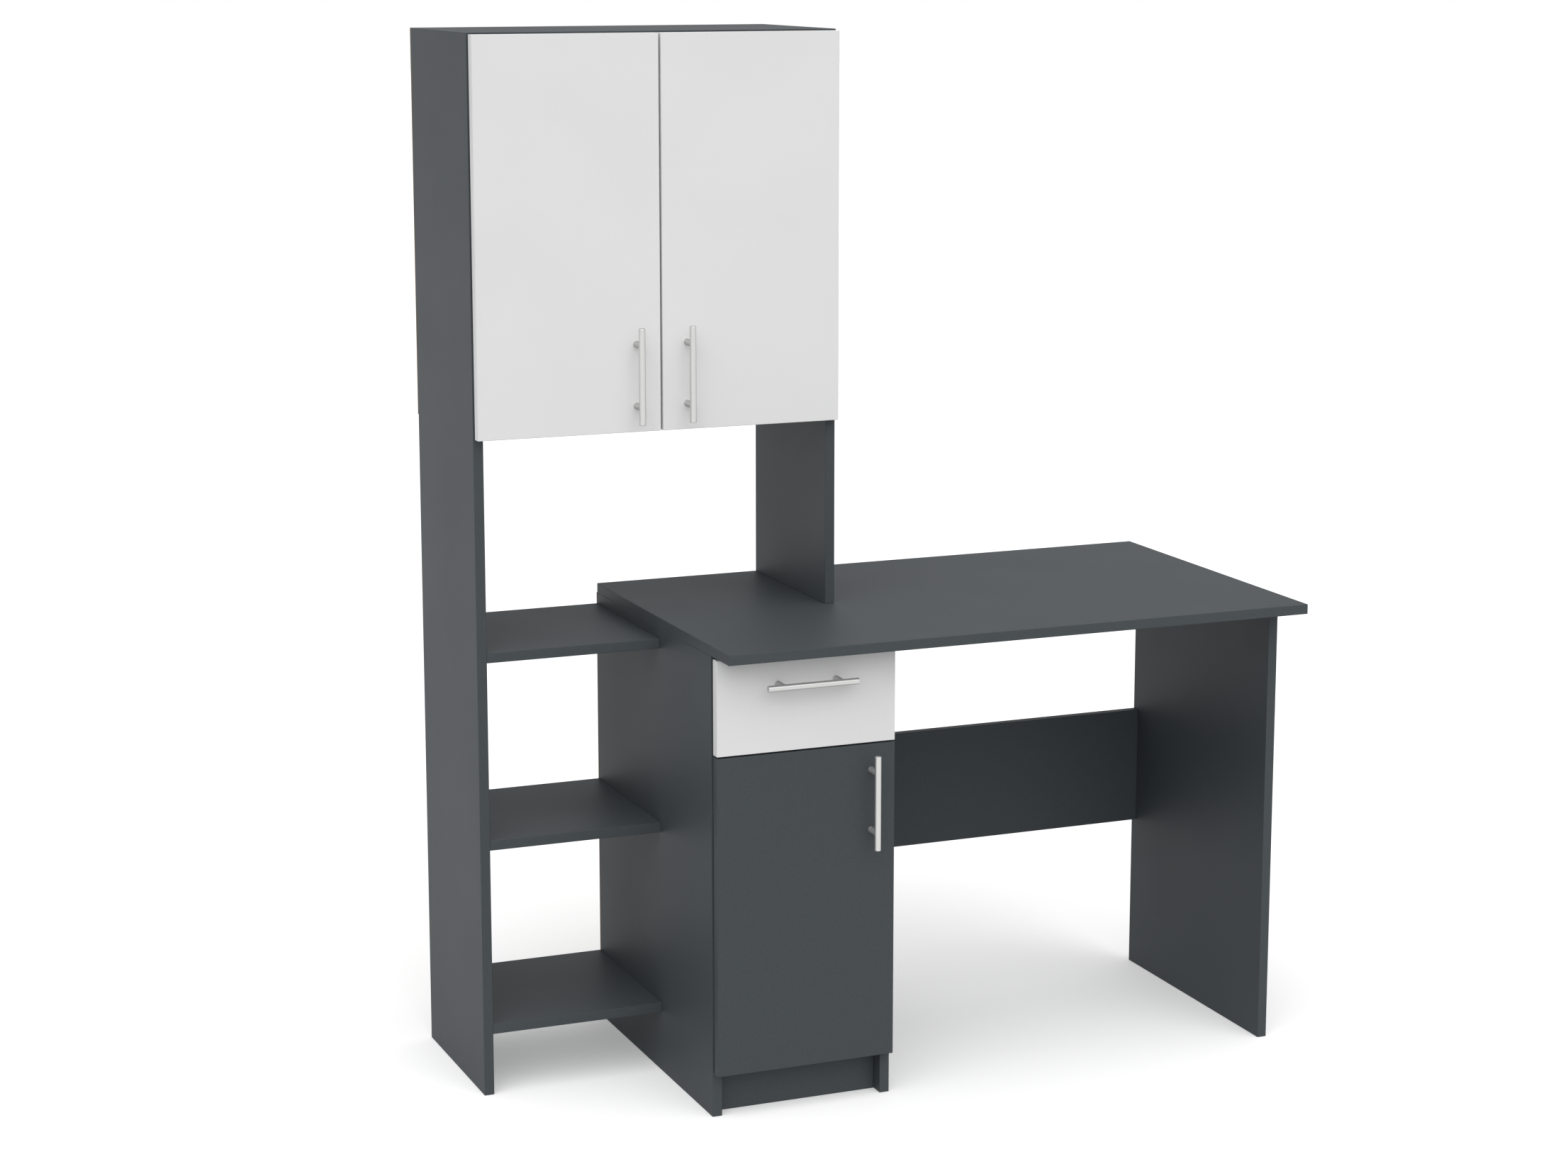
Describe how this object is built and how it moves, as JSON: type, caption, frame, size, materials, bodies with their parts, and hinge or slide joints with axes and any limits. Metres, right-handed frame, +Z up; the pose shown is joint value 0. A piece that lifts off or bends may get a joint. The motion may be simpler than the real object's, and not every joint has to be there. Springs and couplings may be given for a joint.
{
  "type": "writing desk with shelf unit",
  "caption": "Writing desk joined to a tall shelf unit: overhead cabinet with hinged doors, open bay shelves, and a pedestal with a roller-runner drawer above a hinged door.",
  "frame": {"origin": "on the floor, under the middle of the outline", "axes": "+Z up, +Y to the rear, +X to the right of someone who sits at the desk; the front faces -Y"},
  "size_m": [1.3, 0.603, 1.664],
  "materials": {
    "graphite_board": "satin, lightly pearled graphite-grey melamine on chipboard",
    "white_front": "smooth satin white melamine on chipboard",
    "hardboard": "hard fibreboard, lacquered on the inner face",
    "drawer_board": "light grey foil on chipboard",
    "satin_nickel": "satin nickel plate, fine brushing round the bar",
    "nickel_plated_steel": "pressed steel, bright nickel plate",
    "zinc_plated_steel": "zinc plate",
    "zinc_alloy": "raw die-cast zinc",
    "beech": "fluted beech",
    "runner_coating": "white epoxy powder coat",
    "nylon": "natural nylon"
  },
  "bodies": {
    "frame": {"left_side_panel": "graphite_board", "right_upright_panel": "graphite_board", "cabinet_top_panel": "graphite_board", "cabinet_bottom_panel": "graphite_board", "cabinet_shelf": "graphite_board", "lower_bay_shelf": "graphite_board", "middle_bay_shelf": "graphite_board", "upper_bay_shelf": "graphite_board", "desktop": "graphite_board", "pedestal_left_panel": "graphite_board", "pedestal_right_panel": "graphite_board", "pedestal_bottom_panel": "graphite_board", "pedestal_plinth": "graphite_board", "pedestal_divider": "graphite_board", "pedestal_shelf": "graphite_board", "right_leg_panel": "graphite_board", "modesty_panel": "graphite_board", "cabinet_back_panel": "hardboard", "pedestal_back_panel": "hardboard", "cabinet_runners": "runner_coating", "cam_locks": "zinc_alloy", "cam_bolts": "zinc_plated_steel", "dowels": "beech", "shelf_pins": "zinc_plated_steel", "back_panel_nails": "zinc_plated_steel", "hinge_arms": "nickel_plated_steel", "hinge_plates": "nickel_plated_steel", "hinge_plate_screws": "zinc_plated_steel", "runner_screws": "zinc_plated_steel"},
    "left_door": {"left_door_panel": "white_front", "left_door_handle": "satin_nickel", "left_door_handle_screws": "zinc_plated_steel", "left_door_hinge_cups": "nickel_plated_steel", "left_door_hinge_pins": "zinc_plated_steel", "left_door_cup_screws": "zinc_plated_steel"},
    "right_door": {"right_door_panel": "white_front", "right_door_handle": "satin_nickel", "right_door_handle_screws": "zinc_plated_steel", "right_door_hinge_cups": "nickel_plated_steel", "right_door_hinge_pins": "zinc_plated_steel", "right_door_cup_screws": "zinc_plated_steel"},
    "pedestal_door": {"pedestal_door_panel": "graphite_board", "pedestal_door_handle": "satin_nickel", "pedestal_door_handle_screws": "zinc_plated_steel", "pedestal_door_hinge_cups": "nickel_plated_steel", "pedestal_door_hinge_pins": "zinc_plated_steel", "pedestal_door_cup_screws": "zinc_plated_steel"},
    "drawer": {"drawer_front": "white_front", "drawer_left_side": "drawer_board", "drawer_right_side": "drawer_board", "drawer_back": "drawer_board", "drawer_bottom": "hardboard", "drawer_handle": "satin_nickel", "drawer_handle_screws": "zinc_plated_steel", "drawer_runners": "runner_coating", "drawer_screws": "zinc_plated_steel", "drawer_cam_locks": "zinc_alloy", "drawer_cam_bolts": "zinc_plated_steel"},
    "front_rollers": {"front_rollers": "nylon"},
    "rear_rollers": {"rear_rollers": "nylon"}
  },
  "joints": [
    {"name": "left_door_hinge", "type": "hinge", "parent": "frame", "child": "left_door", "pos_m": [-0.641, -0.014, 1.356], "axis": [0, 0, -1], "range_deg": [0, 95]},
    {"name": "right_door_hinge", "type": "hinge", "parent": "frame", "child": "right_door", "pos_m": [-0.059, -0.014, 1.356], "axis": [0, 0, 1], "range_deg": [0, 95]},
    {"name": "pedestal_door_hinge", "type": "hinge", "parent": "frame", "child": "pedestal_door", "pos_m": [-0.341, -0.239, 0.3239], "axis": [0, 0, -1], "range_deg": [0, 95]},
    {"name": "drawer_slide", "type": "slide", "parent": "frame", "child": "drawer", "axis": [0, -1, 0], "range_m": [0, 0.33]},
    {"name": "front_rollers_spin", "type": "hinge", "parent": "frame", "child": "front_rollers", "pos_m": [-0.2, -0.2115, 0.63205], "axis": [1, 0, 0], "range_deg": [-10, 2190]},
    {"name": "rear_rollers_spin", "type": "hinge", "parent": "drawer", "child": "rear_rollers", "pos_m": [-0.2, 0.1905, 0.61285], "axis": [1, 0, 0], "range_deg": [-10, 2190]}
  ],
  "couplings": [
    {"joint": "front_rollers_spin", "follows": "drawer_slide", "rad_per_m": 114.94},
    {"joint": "rear_rollers_spin", "follows": "drawer_slide", "rad_per_m": 114.94}
  ]
}
